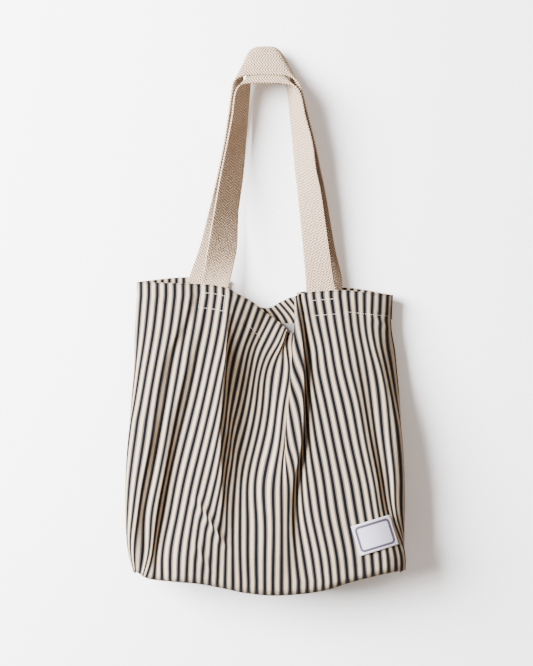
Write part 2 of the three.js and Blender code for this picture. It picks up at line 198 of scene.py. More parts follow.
# ---- The handles ----
# The two long edges of each handle's free webbing, as (x, y, z), from left to right. The
# webbing leaves the mouth flat and turns so that its width crosses the peg.
FRONT_HANDLE_EDGES = {
    "outer": [(-76.7, -5, -282), (-73.3, -10, -262), (-70, -13, -241), (-62.5, -15, -198),
              (-55.2, -15, -156), (-46.6, -14, -113), (-40.5, -16, -81), (-37, -17, -54),
              (-31, -16, -43), (-18, -13, -40), (0, -12, -39.5), (22, -13, -40), (36, -16, -43.5),
              (44, -17, -54), (50, -16, -81), (58.5, -14, -113), (63, -12, -145), (69.5, -9, -177),
              (78.5, -5, -241), (84, -4, -282)],
    "inner": [(-42.5, -1, -282), (-38.3, 4, -262), (-34.3, 9, -241), (-32.5, 12, -198), (-27, 14, -156),
              (-23.3, 14, -113), (-20.8, 15, -81), (-18.4, 15, -51), (-16, 12, -28), (-9, 9, -9),
              (0, 8, -5), (10, 9, -9), (20, 12, -26), (28, 15, -51), (31, 15, -81), (34.3, 14, -113),
              (37, 12, -145), (40.5, 9, -177), (46.6, 2, -241), (50, -3, -282)],
}
BACK_HANDLE_EDGES = {
    "outer": [(-92, 18.5, -276), (-80, 15, -241), (-69, 8, -198), (-59, 1, -156), (-50, -6, -113),
              (-45, -10, -81), (-41, -12, -52), (-38, -11, -38), (-29, -10, -32), (-18, -9, -30),
              (0, -9, -29.5), (24, -9, -30), (32, -10, -32), (41, -11, -40), (46, -12, -53),
              (53, -10, -81), (61.3, -6, -113), (68, -1, -145), (74.8, 4, -177), (85.8, 13, -241),
              (94, 18, -276)],
    "inner": [(-54, 18.5, -276), (-45, 19.5, -241), (-41, 20, -198), (-37, 20, -156), (-33, 19, -113),
              (-30, 19, -81), (-27, 18, -51), (-26, 15, -20), (-20, 11, -3), (-12, 9, 3.6),
              (0, 8.5, 4.8), (12, 9, 4), (20, 11, -3), (28, 14, -18), (33, 17, -45), (37, 19, -81),
              (41, 19, -113), (44, 20, -145), (48, 20, -177), (54, 19.5, -241), (57, 18.5, -276)],
}
FRONT_HANDLE_STRIPES = (8.7, 34.85)      # where the middle of each end is sewn on
BACK_HANDLE_STRIPES = (8.65, 34.85)
HANDLE_END = 35                          # webbing sewn in below the mouth
CARE_STRIPE = 25.2                       # of the back cloth, behind the care label
LABEL = {"x": 135, "z": -594, "width": 50, "height": 38, "tilt": 17}
LABEL_CLOTH_Y = -45.0                    # about where the cloth behind the label lies
LABEL_GAP = 0.3
LABEL_STITCH_INSET = 1.6


# ---- Curves ----
def end_slopes(steps, secants):
    """Slopes of a monotone cubic at its knots: nil at every turning point."""
    slopes = np.empty(len(steps) + 1)
    slopes[0], slopes[-1] = secants[0], secants[-1]
    before, after = secants[:-1], secants[1:]
    same_way = before * after > 0
    weight_a = 2 * steps[1:] + steps[:-1]
    weight_b = steps[1:] + 2 * steps[:-1]
    with np.errstate(divide="ignore", invalid="ignore"):
        middle = (weight_a + weight_b) / (weight_a / before + weight_b / after)
    slopes[1:-1] = np.where(same_way, middle, 0)
    return slopes


def smooth_through(knots, values, at):
    """The monotone cubic through (knots, values), held level beyond both ends."""
    knots, values = np.asarray(knots, float), np.asarray(values, float)
    at = np.clip(at, knots[0], knots[-1])
    steps = np.diff(knots)
    slopes = end_slopes(steps, np.diff(values) / steps)
    k = np.clip(np.searchsorted(knots, at, side="right") - 1, 0, len(steps) - 1)
    h = steps[k]
    t = (at - knots[k]) / h
    return (
        values[k] * (1 + 2 * t) * (1 - t) ** 2
        + values[k + 1] * t * t * (3 - 2 * t)
        + h * slopes[k] * t * (1 - t) ** 2
        - h * slopes[k + 1] * t * t * (1 - t)
    )


def flowing_through(knots, values, at):
    """The natural cubic spline through (knots, values), held level beyond both ends."""
    knots, values = np.asarray(knots, float), np.asarray(values, float)
    h = np.diff(knots)
    count = len(knots)
    system, right = np.eye(count), np.zeros(count)
    for k in range(1, count - 1):
        system[k, k - 1:k + 2] = h[k - 1], 2 * (h[k - 1] + h[k]), h[k]
        secants = (values[k + 1] - values[k]) / h[k] - (values[k] - values[k - 1]) / h[k - 1]
        right[k] = 6 * secants
    bend = np.linalg.solve(system, right)
    at = np.clip(at, knots[0], knots[-1])
    k = np.clip(np.searchsorted(knots, at, side="right") - 1, 0, count - 2)
    below, above = at - knots[k], knots[k + 1] - at
    return (
        (bend[k] * above**3 + bend[k + 1] * below**3) / (6 * h[k])
        + (values[k] / h[k] - bend[k] * h[k] / 6) * above
        + (values[k + 1] / h[k] - bend[k + 1] * h[k] / 6) * below
    )


def lengths_along(path):
    """Length of the path from its start to each of its points."""
    steps = np.linalg.norm(np.diff(path, axis=0), axis=1)
    return np.concatenate([[0], np.cumsum(steps)])


def resample(path, along, at):
    """Points at the given lengths along a path."""
    return np.stack([np.interp(at, along, path[:, i]) for i in range(3)], axis=1)


def smooth_path(points, count):
    """A dense, even path along a Catmull-Rom spline through the points."""
    p = np.array(points, float)
    p = np.vstack([2 * p[0] - p[1], p, 2 * p[-1] - p[-2]])
    t = np.linspace(0, len(points) - 1, 12 * len(points))
    k = np.clip(t.astype(int), 0, len(points) - 2)
    f = (t - k)[:, None]
    a, b, c, d = p[k], p[k + 1], p[k + 2], p[k + 3]
    path = 0.5 * (
        2 * b + (c - a) * f + (2 * a - 5 * b + 4 * c - d) * f**2
        + (3 * b - a - 3 * c + d) * f**3
    )
    along = lengths_along(path)
    return resample(path, along, np.linspace(0, along[-1], count))


def stand_at(x, y, z):
    """The point at depth y that lines up, from the eye, with (x, z) in the plane y = 0."""
    reach = (y - EYE.y) / -EYE.y
    return EYE.x + (x - EYE.x) * reach, y, EYE.z + (z - EYE.z) * reach


# ---- Lofted cloth ----
def front_plane(z):
    """y of the flat face of the front panel at a height."""
    (top_z, top_y), (base_z, base_y) = FRONT_TOP, FRONT_BASE
    share = np.clip((top_z - z) / (top_z - base_z), 0, 1)
    return top_y + (base_y - top_y) * share


class Cloth:
    """One panel of cloth, from side seam to side seam and from mouth to bottom seam."""

    LEVELS = np.arange(-700.0, -270.0, 2.0)

    def __init__(self, sections, mouth, columns, depth_at, creases=(), base_reach=1.0):
        """Lofts the sections into tables of x and depth, by level and stripe."""
        self.creases = creases
        self.base_reach = base_reach
        self.stripes = np.linspace(FIRST_STRIPE, LAST_STRIPE, columns)
        self.mouth_line = mouth
        self.depth_at = depth_at
        heights = [z for z, _ in reversed(sections)]
        stations = np.array([line for _, line in reversed(sections)], float)
        lines = stations.shape[1]
        loft = np.stack([
            np.stack([flowing_through(heights, stations[:, j, c], self.LEVELS)
                      for j in range(lines)], axis=1)
            for c in range(3)
        ])
        self.x_table = np.stack([smooth_through(n, x, self.stripes)
                                 for n, x in zip(loft[0], loft[1])])
        self.depth_table = np.stack([smooth_through(n, d, self.stripes)
                                     for n, d in zip(loft[0], loft[2])])

    def mouth(self, stripe):
        n, z = zip(*self.mouth_line)
        return smooth_through(n, z, stripe)

    def lookup(self, table, stripe, z):
        column = np.interp(stripe, self.stripes, np.arange(len(self.stripes)))
        row = np.interp(z, self.LEVELS, np.arange(len(self.LEVELS)))
        i = np.clip(row.astype(int), 0, table.shape[0] - 2)
        j = np.clip(column.astype(int), 0, table.shape[1] - 2)
        a, b = row - i, column - j
        upper = table[i, j] * (1 - b) + table[i, j + 1] * b
        lower = table[i + 1, j] * (1 - b) + table[i + 1, j + 1] * b
        return upper * (1 - a) + lower * a

    def base(self, stripe):
        """Height at which the panel's face turns under the base."""
        x = self.lookup(self.x_table, stripe, np.full_like(stripe, BASE_LEVEL))
        xs, zs = zip(*BASE_LINE)
        return EYE.z + (smooth_through(xs, zs, x) - EYE.z) * self.base_reach

    def point(self, stripe, z, inwards=0.0):
        """Points of the cloth's outer face, or of a layer some way inwards from it."""
        stripe, z = np.broadcast_arrays(
            np.atleast_1d(np.asarray(stripe, float)), np.atleast_1d(np.asarray(z, float)))
        below = self.mouth(stripe) - z
        depth = self.lookup(self.depth_table, stripe, z) + hem_relief(stripe, below)
        depth = depth + ripples(stripe, z) + turn_under(z - self.base(stripe)) + inwards
        x = self.lookup(self.x_table, stripe, z)
        for crease in self.creases:
            rise, shift = crease_effect(crease, stripe, z)
            depth, x = depth - rise, x + shift
        return np.stack(stand_at(x, self.depth_at(z, depth), z), axis=-1)


def hem_relief(stripe, below):
    """The hem is puffed between the mouth and its line of stitches, which is drawn in."""
    puff = -0.7 * np.sin(np.pi * np.clip(below / HEM_STITCH_BELOW, 0, 1))
    draw_in = 0.9 * np.exp(-((below - HEM_STITCH_BELOW) / 1.6) ** 2)
    pucker = 0.45 * np.sin(stripe * 4.1) * np.exp(-np.abs(below - HEM_STITCH_BELOW) / 7)
    return puff + draw_in + pucker


def crease_effect(crease, stripe, z):
    """How proud a crease makes the cloth, and how far it shifts a stripe sideways."""
    (n0, z0), (n1, z1), proud, closing = crease
    along = np.array([(n1 - n0) * STRIPE, z1 - z0])
    length = np.linalg.norm(along)
    along = along / length
    a, b = (stripe - n0) * STRIPE, z - z0
    share = np.clip((a * along[0] + b * along[1]) / length, 0, 1)
    off = (b * along[0] - a * along[1]) / CREASE_WIDTH
    bump = np.exp(-off**2) * np.sin(math.pi * share) ** 0.7
    side = -np.sign(along[1])
    return proud * bump, -side * closing * off * bump


def ripples(stripe, z):
    """Small, long undulations of soft cotton that hangs."""
    flat_n, flat_z = stripe.ravel(), z.ravel()
    waves = [
        0.9 * noise.noise(Vector((n * 0.32, h * 0.010, 1.7)))
        + 0.45 * noise.noise(Vector((n * 0.9, h * 0.028, 5.1)))
        for n, h in zip(flat_n, flat_z)
    ]
    return np.array(waves).reshape(stripe.shape)


def turn_under(above_base):
    """How far the face has drawn back where it rounds off into the base."""
    up = np.clip(above_base, 0, ROUND)
    return ROUND - np.sqrt(ROUND**2 - (ROUND - up) ** 2)


def front_depth(z, depth):
    return front_plane(z) + depth


def back_depth(z, depth):
    return REAR_Y - 0.6 - depth + 0 * z


def seam_point(cloth, stripe):
    """The base's edge below a stripe, and the bottom seam in the middle of the base."""
    edge = cloth.point(stripe, cloth.base(stripe))
    middle = (REAR_Y + FRONT_BASE[1]) / 2
    seam = edge.copy()
    seam[:, 0] *= SEAM_PULL
    seam[:, 1] = middle
    seam[:, 2] -= SEAM_DROP * (1 - (edge[:, 0] / SEAM_HALF_LENGTH) ** 2)
    return edge, seam


def cloth_grid(cloth, rows, base_rows, inwards=0.0):
    """Rows of points from the mouth down the face, then under the base to its seam."""
    n = cloth.stripes
    mouth, base = cloth.mouth(n), cloth.base(n)
    face = [cloth.point(n, mouth + (base - mouth) * t, inwards)
            for t in np.linspace(0, 1, rows)]
    edge, seam = seam_point(cloth, n)
    under = [edge + (seam - edge) * np.sin(t * math.pi / 2)
             for t in np.linspace(0, 1, base_rows + 1)[1:]]
    for k, row in enumerate(under):
        row[:, 2] -= BASE_SAG * math.sin((k + 1) / base_rows * math.pi)
    return np.array(face + under)


# ---- Meshes ----
def add_object(name, data, location=(0, 0, 0), rotation=(0, 0, 0)):
    obj = bpy.data.objects.new(name, data)
    obj.location = location
    obj.rotation_euler = rotation
    bpy.context.scene.collection.objects.link(obj)
    return obj


def link(name, verts, faces, material, uv=None):
    """A new mesh object from points in mm. uv holds metres of cloth at each vertex."""
    mesh = bpy.data.meshes.new(name)
    mesh.from_pydata([tuple(float(c) * MM for c in v) for v in verts], [], faces)
    if uv is not None:
        layer = mesh.uv_layers.new(name="cloth")
        for loop in mesh.loops:
            layer.data[loop.index].uv = uv[loop.vertex_index]
    mesh.polygons.foreach_set("use_smooth", [True] * len(mesh.polygons))
    mesh.materials.append(material)
    return add_object(name, mesh)


def grid_faces(rows, columns, flip=False):
    faces = []
    for i in range(rows - 1):
        for j in range(columns - 1):
            a, b = i * columns + j, i * columns + j + 1
            c, d = b + columns, a + columns
            faces.append((a, b, c, d) if flip else (a, d, c, b))
    return faces


def grid_sheet(name, grid, uv_u, uv_v, material, flip=False):
    """A sheet from a grid of points; uv_u and uv_v are lengths of cloth in mm."""
    rows, columns = grid.shape[:2]
    uv = np.stack([np.broadcast_to(uv_u, (rows, columns)),
                   np.broadcast_to(uv_v, (rows, columns))], axis=-1) * MM
    return link(name, grid.reshape(-1, 3), grid_faces(rows, columns, flip), material,
                uv.reshape(-1, 2).tolist())


def thicken(obj, thickness, offset=-1.0):
    """Gives a sheet its thickness, with the modelled face outside."""
    solid = obj.modifiers.new("thickness", "SOLIDIFY")
    solid.thickness = thickness * MM
    solid.offset = offset
    solid.use_even_offset = False
    return obj


def rod_mesh(centres, directions, length, radius, sides=7, rings=5):
    """Short rounded rods, one for each stitch."""
    verts, faces = [], []
    for centre, direction in zip(centres, directions):
        axis = Vector(direction).normalized()
        across = axis.orthogonal().normalized()
        other = axis.cross(across)
        first = len(verts)
        for r in range(rings):
            angle = math.pi * (0.12 + 0.76 * r / (rings - 1))
            swell = radius * math.sin(angle) ** 0.5
            middle = Vector(centre) - axis * (length / 2 * math.cos(angle))
            for s in range(sides):
                turn = 2 * math.pi * s / sides
                spoke = across * math.cos(turn) + other * math.sin(turn)
                verts.append(middle + spoke * swell)
        for r in range(rings - 1):
            for s in range(sides):
                a, b = first + r * sides + s, first + r * sides + (s + 1) % sides
                faces.append((a, b, b + sides, a + sides))
        faces.append(tuple(first + s for s in reversed(range(sides))))
        last = first + (rings - 1) * sides
        faces.append(tuple(last + s for s in range(sides)))
    return verts, faces


def stitch_line(name, path, material, pitch=STITCH_PITCH, length=STITCH_LENGTH,
                radius=THREAD_RADIUS):
    """A row of separate stitches along a path of points."""
    path = np.array(path, float)
    along = lengths_along(path)
    at = np.arange(pitch / 2, along[-1], pitch)
    ahead, behind = resample(path, along, at + 0.5), resample(path, along, at - 0.5)
    verts, faces = rod_mesh(resample(path, along, at), ahead - behind, length, radius)
    return link(name, verts, faces, material)


def along_sides(corners, count):
    """Each side of a closed outline in turn, as two arrays of coordinates."""
    for (a0, b0), (a1, b1) in zip(corners, corners[1:] + corners[:1]):
        yield np.linspace(a0, a1, count), np.linspace(b0, b1, count)


# ---- Materials ----
class Nodes:
    """A material and short ways to add nodes to it."""

    def __init__(self, name, roughness, sheen=0.0):
        self.material = bpy.data.materials.new(name)
        self.material.use_nodes = True
        self.tree = self.material.node_tree
        self.shader = self.tree.nodes["Principled BSDF"]
        for key, value in (("Roughness", roughness), ("Specular IOR Level", 0.03),
                           ("Sheen Weight", sheen), ("Sheen Roughness", 0.6)):
            self.plug(value, self.shader.inputs[key])

    def node(self, kind, inputs, **settings):
        """Adds a node. Each of its inputs takes a value or another node's output."""
        made = self.tree.nodes.new(kind)
        for key, value in settings.items():
            setattr(made, key, value)
        for key, value in inputs.items():
            self.plug(value, made.inputs[key])
        return made

    def plug(self, value, socket):
        if isinstance(value, bpy.types.NodeSocket):
            self.tree.links.new(value, socket)
        else:
            socket.default_value = value

    def math(self, operation, a, b=0.0, c=0.0):
        made = self.node("ShaderNodeMath", {0: a, 1: b, 2: c}, operation=operation)
        return made.outputs[0]

    def times(self, value, factor):
        return self.math("MULTIPLY", value, factor)

    def wave(self, value, period):
        return self.math("SINE", self.times(value, 2 * math.pi / period))

    def mix(self, factor, a, b):
        made = self.node("ShaderNodeMix", {0: factor, 6: a, 7: b}, data_type="RGBA")
        return made.outputs[2]

    def cloth_uv(self):
        uv = self.node("ShaderNodeUVMap", {}, uv_map="cloth")
        split = self.node("ShaderNodeSeparateXYZ", {0: uv.outputs[0]})
        return split.outputs[0], split.outputs[1]

    def noise(self, vector, scale, detail=3.0, roughness=0.55):
        inputs = {"Scale": scale, "Detail": detail, "Roughness": roughness}
        if vector is not None:
            inputs["Vector"] = vector
        return self.node("ShaderNodeTexNoise", inputs).outputs["Fac"]

    def place(self, x, y):
        return self.node("ShaderNodeCombineXYZ", {0: x, 1: y}).outputs[0]

    def band(self, value, centre, half_width, edge):
        """1 inside a band of values, 0 outside, with soft edges."""
        off = self.math("ABSOLUTE", self.math("SUBTRACT", value, centre))
        limits = {0: off, 1: half_width + edge, 2: half_width - edge, 3: 0.0, 4: 1.0}
        made = self.node("ShaderNodeMapRange", limits, interpolation_type="SMOOTHSTEP")
        return made.outputs[0]

    def bump(self, height, strength, distance):
        made = self.node("ShaderNodeBump",
                         {"Strength": strength, "Distance": distance, "Height": height})
        self.plug(made.outputs[0], self.shader.inputs["Normal"])

    def colour(self, value):
        self.plug(value, self.shader.inputs["Base Color"])


def rgb(r, g, b):
    """A colour given in the usual 0 to 255 steps, made linear for the shader."""
    def linear(c):
        c = c / 255
        return c / 12.92 if c <= 0.04045 else ((c + 0.055) / 1.055) ** 2.4
    return (linear(r), linear(g), linear(b), 1.0)


def ticking_material():
    """Cream twill with a black stripe between fine pinstripes."""
    m = Nodes("ticking", 0.9, sheen=0.02)
    u, v = m.cloth_uv()
    wobble = m.times(m.math(
        "SUBTRACT", m.noise(m.place(m.times(u, 40.0), v), 14.0), 0.5), 0.00035)
    across = m.math("DIVIDE", m.math("ADD", u, wobble), STRIPE * MM)
    phase = m.math("FRACT", m.math("ADD", across, 0.5))
    core = m.band(phase, 0.5, 0.16, 0.025)
    pins_left = m.band(phase, 0.27, 0.09, 0.03)
    pins_right = m.band(phase, 0.73, 0.09, 0.03)
    tan_line = m.band(phase, 0.0, 0.04, 0.03)

    yarn = m.noise(m.place(m.times(u, 9.0), v), 90.0, detail=2.0)
    slub = m.noise(m.place(m.times(u, 60.0), v), 22.0, detail=2.0)
    diagonal = m.math("ADD", u, m.times(v, 0.62))
    twill = m.wave(diagonal, 0.0017)
    cream = m.mix(yarn, rgb(158, 139, 113), rgb(200, 184, 161))
    cream = m.mix(m.times(slub, 0.35), cream, rgb(166, 140, 108))
    cream = m.mix(m.times(tan_line, 0.25), cream, rgb(150, 124, 94))
    cream = m.mix(m.math("MULTIPLY_ADD", twill, 0.22, 0.22), cream, rgb(136, 112, 84))
    grey = m.mix(yarn, rgb(44, 44, 48), rgb(70, 68, 70))
    black = m.mix(yarn, rgb(3, 4, 6), rgb(10, 11, 14))
    base = m.mix(m.times(pins_left, 0.95), cream, grey)
    base = m.mix(m.times(pins_right, 0.9), base, grey)
    m.colour(m.mix(core, base, black))

    fibre = m.noise(None, 900.0, detail=2.0)
    m.bump(m.math("ADD", m.times(twill, 0.5), fibre), 0.5, 0.0004)
    return m.material


def webbing_material():
    """Unbleached cotton webbing in a coarse herringbone, with a firm selvedge."""
    m = Nodes("webbing", 0.92, sheen=0.03)
    u, v = m.cloth_uv()
    column = m.math("PINGPONG", u, 0.0063)
    slant = m.math("ADD", m.times(column, 0.8), v)
    rib = m.wave(slant, 0.0034)
    warp = m.wave(u, 0.0021)
    weave = m.math("ADD", m.times(rib, 0.6), m.times(warp, 0.4))
    fibre = m.noise(None, 700.0, detail=2.0)
    patch = m.noise(None, 30.0, detail=2.0)
    shade = m.math("ADD", m.times(weave, 0.8), m.times(fibre, 1.0))
    tone = m.mix(shade, rgb(106, 83, 65), rgb(252, 224, 194))
    m.colour(m.mix(m.times(patch, 0.3), tone, rgb(204, 176, 148)))
    m.bump(m.math("ADD", weave, m.times(fibre, 0.5)), 1.0, 0.0014)
    return m.material


def thread_material():
    """White cotton thread, twisted from plies."""
    m = Nodes("thread", 0.7, sheen=0.1)
    fibre = m.noise(None, 1500.0, detail=2.0)
    m.colour(m.mix(fibre, rgb(186, 178, 166), rgb(214, 208, 198)))
    m.bump(fibre, 0.4, 0.0002)
    return m.material


def label_material():
    """Satin-woven label with a plain dark border line and no lettering."""
    m = Nodes("label", 0.55, sheen=0.15)
    u, v = m.cloth_uv()
    inset, corner = 0.0042, 0.004
    offs, squares = [], []
    for place, side in ((u, "width"), (v, "height")):
        straight = LABEL[side] * MM / 2 - inset - corner
        off = m.math("SUBTRACT", m.math("ABSOLUTE", place), straight)
        away = m.math("MAXIMUM", off, 0.0)
        offs.append(off)
        squares.append(m.times(away, away))
    outside = m.math("SQRT", m.math("ADD", *squares))
    inside = m.math("MINIMUM", m.math("MAXIMUM", *offs), 0.0)
    distance = m.math("SUBTRACT", m.math("ADD", outside, inside), corner)
    border = m.band(distance, 0.0, 0.0015, 0.0003)
    weft = m.wave(v, 0.0005)
    warp = m.wave(u, 0.00035)
    grain = m.noise(None, 600.0, detail=2.0)
    ground = m.mix(grain, rgb(160, 155, 173), rgb(182, 177, 195))
    m.colour(m.mix(m.times(border, 0.9), ground, rgb(22, 16, 28)))
    m.bump(m.math("ADD", m.times(weft, 0.5), m.times(warp, 0.3)),
           0.3, 0.0002)
    return m.material


def care_material():
    """Thin grey-white nylon tape, coloured mid grey: painted shade for where it hangs inside the bag.
    """
    m = Nodes("care_tape", 0.5)
    _, v = m.cloth_uv()
    rib = m.wave(v, 0.0006)
    grain = m.noise(None, 500.0)
    # painted shade: the tape's grey-white is darkened to mid grey, the way it looks in the shade inside
    # the bag
    m.colour(m.mix(grain, rgb(96, 94, 95), rgb(120, 118, 118)))
    m.bump(rib, 0.3, 0.0002)
    return m.material


def wall_material():
    """Matt white wall, see-through from behind so that the bag's back can be seen."""
    m = Nodes("wall", 0.95)
    plaster = m.noise(None, 60.0, detail=4.0)
    m.colour(m.mix(plaster, rgb(243, 243, 245), rgb(247, 247, 249)))
    m.bump(plaster, 0.05, 0.002)
    facing = m.node("ShaderNodeNewGeometry", {})
    clear = m.node("ShaderNodeBsdfTransparent", {})
    choose = m.node("ShaderNodeMixShader", {0: facing.outputs["Backfacing"],
                                            1: m.shader.outputs[0], 2: clear.outputs[0]})
    m.plug(choose.outputs[0], m.tree.nodes["Material Output"].inputs["Surface"])
    return m.material


def floor_material():
    m = Nodes("floor", 0.9)
    speck = m.noise(None, 40.0, detail=4.0)
    m.colour(m.mix(speck, rgb(226, 226, 228), rgb(234, 234, 236)))
    return m.material


# ---- Pieces: the bag ----
FACE_ROWS = 150
BASE_ROWS = 12
COLUMNS = 250


def cloth_v(grid):
    """Length of cloth below the mouth at each point, measured down every column."""
    steps = np.linalg.norm(np.diff(grid, axis=0), axis=2)
    return np.vstack([np.zeros(grid.shape[1]), np.cumsum(steps, axis=0)])


def sewn_together(grid, other, reach=14):
    """Eases the edges of one panel's grid onto the other's, so that the seams close."""
    grid = grid.copy()
    for edge, step in ((0, 1), (-1, -1)):
        gap = other[:, edge] - grid[:, edge]
        for k in range(reach):
            grid[:, edge + step * k] += gap * (0.5 + 0.5 * math.cos(math.pi * k / reach))
    gap = other[-1] - grid[-1]
    for k in range(BASE_ROWS):
        grid[-1 - k] += gap * (1 - k / BASE_ROWS)
    return grid


def make_panel(name, cloth, material, flip, sewn_to=None):
    grid = cloth_grid(cloth, FACE_ROWS, BASE_ROWS)
    if sewn_to is not None:
        grid = sewn_together(grid, cloth_grid(sewn_to, FACE_ROWS, BASE_ROWS))
    obj = grid_sheet(name, grid, cloth.stripes * STRIPE, -cloth_v(grid), material, flip)
    return thicken(obj, CLOTH)


def make_hem(name, cloth, material, flip):
    """The turned-in hem: over the mouth's edge and down the inside."""
    n = cloth.stripes
    mouth = cloth.mouth(n)
    fold = CLOTH + 0.5
    rows, lengths = [], []
    for k in range(5):
        turn = math.pi * k / 4
        rows.append(cloth.point(n, mouth + fold / 2 * math.sin(turn),
                                fold / 2 * (1 - math.cos(turn))))
        lengths.append(fold / 2 * turn)
    for below in np.linspace(3, HEM_DEPTH, 8):
        rows.append(cloth.point(n, mouth - below, fold))
        lengths.append(lengths[4] + below)
    grid = np.array(rows)
    uv_v = np.array(lengths)[:, None]
    obj = grid_sheet(name, grid, n * STRIPE, uv_v, material, not flip)
    return thicken(obj, CLOTH, offset=1.0)


def hem_stitches(name, cloth, material, inwards):
    n = np.linspace(FIRST_STRIPE + 0.3, LAST_STRIPE - 0.3, 320)
    path = cloth.point(n, cloth.mouth(n) - HEM_STITCH_BELOW, inwards)
    return stitch_line(name, path, material)


def box_stitches(name, cloth, middle, material, inwards):
    """The rectangle of stitches that holds one end of a handle."""
    half, top, bottom = (BOX_STITCH[k] for k in ("half_width", "top", "bottom"))
    left, right = middle - half, middle + half
    corners = [(left, top), (right, top), (right, bottom), (left, bottom)]
    path = []
    for n, below in along_sides(corners, 24):
        path.extend(cloth.point(n, cloth.mouth(n) - below, inwards))
    return stitch_line(name, path, material, pitch=2.9, length=2.3)


def inward_strip(name, edge, inward, material, width=8.0):
    """A narrow, soft seam allowance that stands inwards from a seam."""
    edge, inward = np.array(edge), np.array(inward)
    grid = np.array([edge + inward * (width * t) for t in np.linspace(0.04, 1, 5)])
    uv_u = np.linspace(0, width, 5)[:, None]
    obj = grid_sheet(name, grid, uv_u, lengths_along(edge)[None, :], material)
    return thicken(obj, 1.6, offset=0.0)


def make_side_seam(name, cloth, stripe, across, material):
    z = np.linspace(-314, -630, 60)
    n = np.full_like(z, stripe)
    edge = cloth.point(n, z)
    wave = 0.6 * np.sin(z / 9)[:, None] * np.array([0, 1, 0])
    return inward_strip(name, edge + wave, (-across, 0, 0), material)


def make_corner_seam(name, cloth, across, material):
    """The seam across a boxed corner, inside, from the side seam's foot inwards."""
    _, seam = seam_point(cloth, cloth.stripes)
    column = 0 if across < 0 else -1
    foot = seam[column] + np.array([-across * 9.0, 0, 9])
    reach = np.linspace(-11, 11, 14)
    line = [foot + np.array([0, y, abs(y) * 0.1]) for y in reach]
    return inward_strip(name, line, (-across * 0.6, 0, 0.8), material, width=7.0)


def make_bottom_seam(cloth, material):
    _, seam = seam_point(cloth, cloth.stripes[6:-6:2])
    return inward_strip("bottom_seam_allowance", seam + np.array([0, 0, 1.2]),
                        (0, 0, 1), material)


# ---- Pieces: handles ----
def sewn_end(cloth, middle, inwards, shares):
    """Rows of points, 5 mm apart, of the webbing behind the cloth, from its end upwards."""
    n = middle + (shares - 0.5) * WEBBING_WIDTH / STRIPE
    levels = cloth.mouth(n).mean() - np.arange(HANDLE_END, 1.0, -5.0)
    return np.array([cloth.point(n, z, inwards) for z in levels])


def make_handle(name, cloth, stripes, edges, material):
    """One strap of webbing, from one sewn end over the peg to the other, and its length."""
    shares = np.linspace(0, 1, 15)
    left = sewn_end(cloth, stripes[0], WEBBING_INSET, shares)
    right = sewn_end(cloth, stripes[1], WEBBING_INSET, shares)[::-1, ::-1]
    outer = np.array([stand_at(*p) for p in edges["outer"]])
    inner = np.array([stand_at(*p) for p in edges["inner"]])
    lines = [
        smooth_path(np.vstack([left[:, k], outer + (inner - outer) * t, right[:, k]]), 260)
        for k, t in enumerate(shares)
    ]
    grid = np.stack(lines, axis=1)
    along = lengths_along(lines[len(lines) // 2])
    obj = grid_sheet(name, grid, shares[None, :] * WEBBING_WIDTH, along[:, None], material)
    thicken(obj, WEBBING, offset=0.0)
    bevel = obj.modifiers.new("soft_edges", "BEVEL")
    bevel.width = 0.5 * MM
    bevel.segments = 2
    bevel.limit_method = "ANGLE"
    return obj, along[-1]


# ---- Pieces: labels ----
def label_place(a, b):
    """x and z, as seen, of the label at (a, b) from its middle, in its tilted directions."""
    cos, sin = math.cos(math.radians(LABEL["tilt"])), math.sin(math.radians(LABEL["tilt"]))
    return LABEL["x"] + a * cos - b * sin, LABEL["z"] + a * sin + b * cos


def quadratic(a, b):
    """The terms of a gently curved surface at (a, b)."""
    return np.stack([np.ones_like(a), a, b, a * a, a * b, b * b], axis=-1)


def label_surface(panel):
    """Fits a gently curved surface to the cloth behind the label. Returns y at (a, b)."""
    tree = BVHTree.FromObject(panel, bpy.context.evaluated_depsgraph_get())
    spots = []
    for a in np.linspace(-0.5, 0.5, 11) * LABEL["width"]:
        for b in np.linspace(-0.5, 0.5, 9) * LABEL["height"]:
            seen_x, seen_z = label_place(a, b)
            x, _, z = stand_at(seen_x, LABEL_CLOTH_Y, seen_z)
            hit = tree.ray_cast(Vector((x * MM, -0.2, z * MM)), Vector((0, 1, 0)))[0]
            spots.append((a, b, hit.y / MM))
    a, b, y = np.array(spots).T
    fit = np.linalg.lstsq(quadratic(a, b), y, rcond=None)[0]
    proud = float(np.max(quadratic(a, b) @ fit - y))
    return lambda a, b: quadratic(a, b) @ fit - proud - LABEL_GAP


def label_points(surface, a, b, lift=0.0):
    """Points of the label at (a, b) from its middle, some way in front of its surface."""
    x, z = label_place(a, b)
    return np.stack(stand_at(x, surface(a, b) - lift, z), axis=-1)


def make_label(surface, material):
    shape = np.linspace(-0.5, 0.5, 25)
    a, b = np.meshgrid(shape * LABEL["width"], shape[::-1] * LABEL["height"])
    obj = grid_sheet("label_patch", label_points(surface, a, b), a, b, material)
    return thicken(obj, 0.6)


def make_label_stitches(surface, material):
    right, top = LABEL["width"] / 2 - LABEL_STITCH_INSET, LABEL["height"] / 2 - LABEL_STITCH_INSET
    corners = [(-right, -top), (right, -top), (right, top), (-right, top)]
    path = []
    for a, b in along_sides(corners, 20):
        path.extend(label_points(surface, a, b, lift=0.15))
    return stitch_line("label_stitches", path, material, pitch=2.4, length=1.7, radius=0.26)


def make_care_label(back, material):
    """A short tape that hangs inside the back, from the lower edge of its hem."""
    low, high = np.array(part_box("care_label")) / MM
    width, _, height = high - low
    root = back.point(CARE_STRIPE, high[2])[0, 1] - 1.2
    down, across = np.meshgrid(np.linspace(0, 1, 14), np.linspace(0, 1, 12), indexing="ij")
    curl = np.sin(down * math.pi) + 1.5 * down * down + 0.8 * np.sin(across * math.pi)
    grid = np.stack([low[0] + width * across, root - curl, high[2] - height * down], axis=-1)
    obj = grid_sheet("care_label_tape", grid, width * across, height * down, material)
    return thicken(obj, 0.4)


